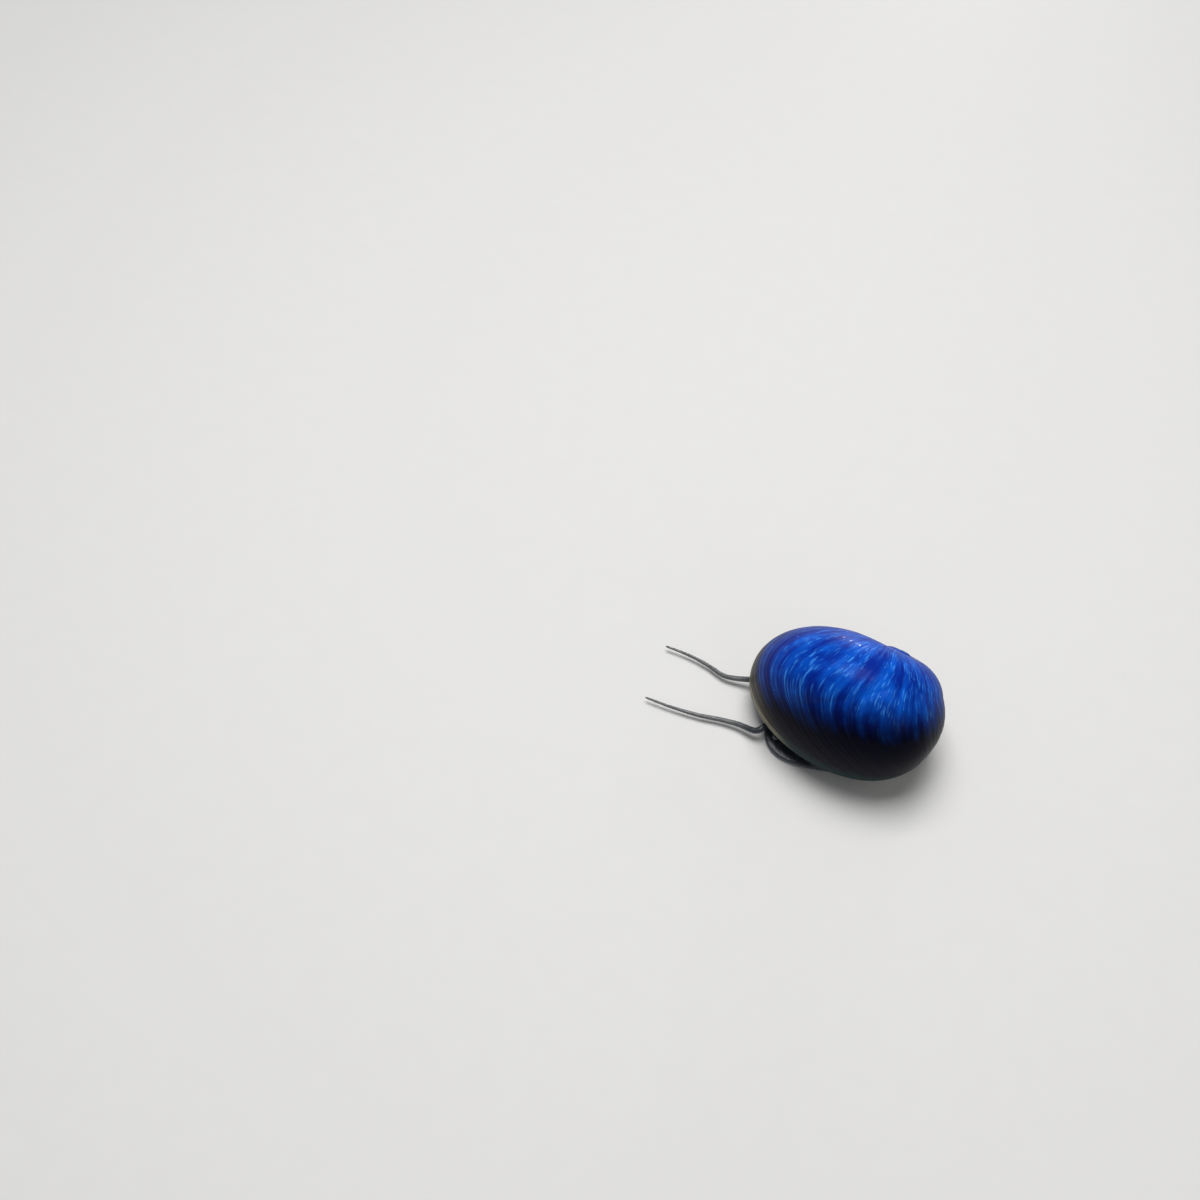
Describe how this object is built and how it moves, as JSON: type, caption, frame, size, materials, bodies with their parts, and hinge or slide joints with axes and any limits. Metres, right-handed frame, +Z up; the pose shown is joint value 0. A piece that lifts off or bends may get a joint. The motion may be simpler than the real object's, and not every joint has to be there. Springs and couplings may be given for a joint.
{
  "type": "nerite snail",
  "caption": "Life-size still model of a blue nerite snail crawling with its dome-shaped shell low over the foot and its tentacles held forward.",
  "frame": {"origin": "on the flat sole of the foot, under the middle of the shell", "axes": "+X forward to the head, +Y to the snail's left, +Z up"},
  "size_m": [0.0346, 0.0184, 0.0159],
  "materials": {
    "shell": "glossy deep blue shell with fine pale growth lines, near black low on the sides and olive at the lip",
    "septum": "smooth pale shell shelf",
    "skin": "moist blue-black skin, greyer on the tentacles",
    "eye": "glossy black",
    "operculum": "limy brown lid with fine growth rings"
  },
  "bodies": {
    "root": {"shell_body_whorl": "shell", "shell_spire": "shell", "shell_outer_lip": "shell", "shell_septum": "septum", "body_column": "skin", "mantle_edge": "skin", "foot": "skin", "head": "skin", "snout": "skin", "operculum": "operculum", "eyestalk_left": "skin", "eyestalk_right": "skin", "eye_left": "eye", "eye_right": "eye", "tentacle_left_base": "skin", "tentacle_left_middle": "skin", "tentacle_left_tip": "skin", "tentacle_right_base": "skin", "tentacle_right_middle": "skin", "tentacle_right_tip": "skin"}
  },
  "joints": []
}
